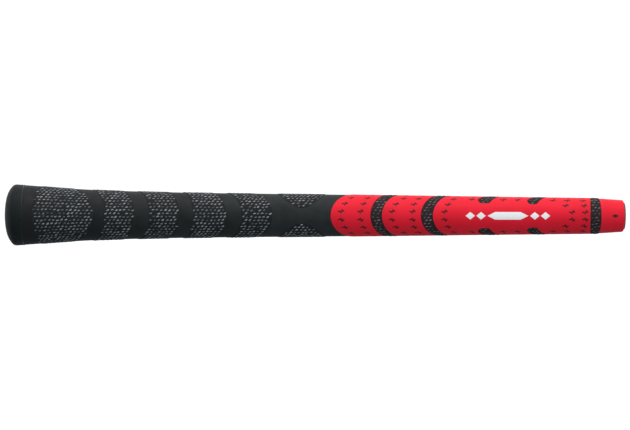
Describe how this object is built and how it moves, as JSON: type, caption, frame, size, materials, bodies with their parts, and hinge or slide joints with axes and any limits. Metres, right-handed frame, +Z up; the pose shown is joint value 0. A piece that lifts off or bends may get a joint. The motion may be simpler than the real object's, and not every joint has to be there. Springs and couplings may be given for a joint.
{
  "type": "golf grip",
  "caption": "Tapered golf club grip with corded upper panels, smooth lower sleeve, domed vented butt cap and a tapered bore for the shaft.",
  "frame": {"origin": "centre of the mouth of the shaft bore, at the mouth's end face", "axes": "+X along the bore axis out of the mouth, so the butt end is at -X; -Y is the front with the ornament; +Z is up"},
  "size_m": [0.273, 0.027, 0.027],
  "materials": {
    "smooth_black_rubber": "smooth matte moulded rubber",
    "corded_rubber": "rough black rubber with short grey cord threads showing",
    "cap_rubber": "smooth satin moulded rubber",
    "core_rubber": "matte rubber, as moulded on the mandrel",
    "red_rubber": "smooth satin red rubber",
    "dark_paint": "matte paint fill in shallow engraving",
    "white_paint": "matte white paint fill in shallow engraving"
  },
  "bodies": {
    "root": {"butt_cap": "cap_rubber", "core_tube": "core_rubber", "upper_sleeve": "smooth_black_rubber", "cord_panel_1": "corded_rubber", "cord_panel_2": "corded_rubber", "cord_panel_3": "corded_rubber", "cord_panel_4": "corded_rubber", "cord_panel_5": "corded_rubber", "side_panel_upper": "corded_rubber", "side_panel_lower": "corded_rubber", "red_sleeve_1": "red_rubber", "red_sleeve_2": "red_rubber", "red_sleeve_3": "red_rubber", "cord_band_1": "corded_rubber", "cord_band_2": "corded_rubber", "tip_cord_ring": "corded_rubber", "crescent_upper_1": "corded_rubber", "crescent_lower_1": "corded_rubber", "crescent_upper_2": "corded_rubber", "crescent_lower_2": "corded_rubber", "tip_collar": "red_rubber", "dash_marks": "dark_paint", "ornament": "white_paint", "alignment_mark": "dark_paint"}
  },
  "joints": []
}
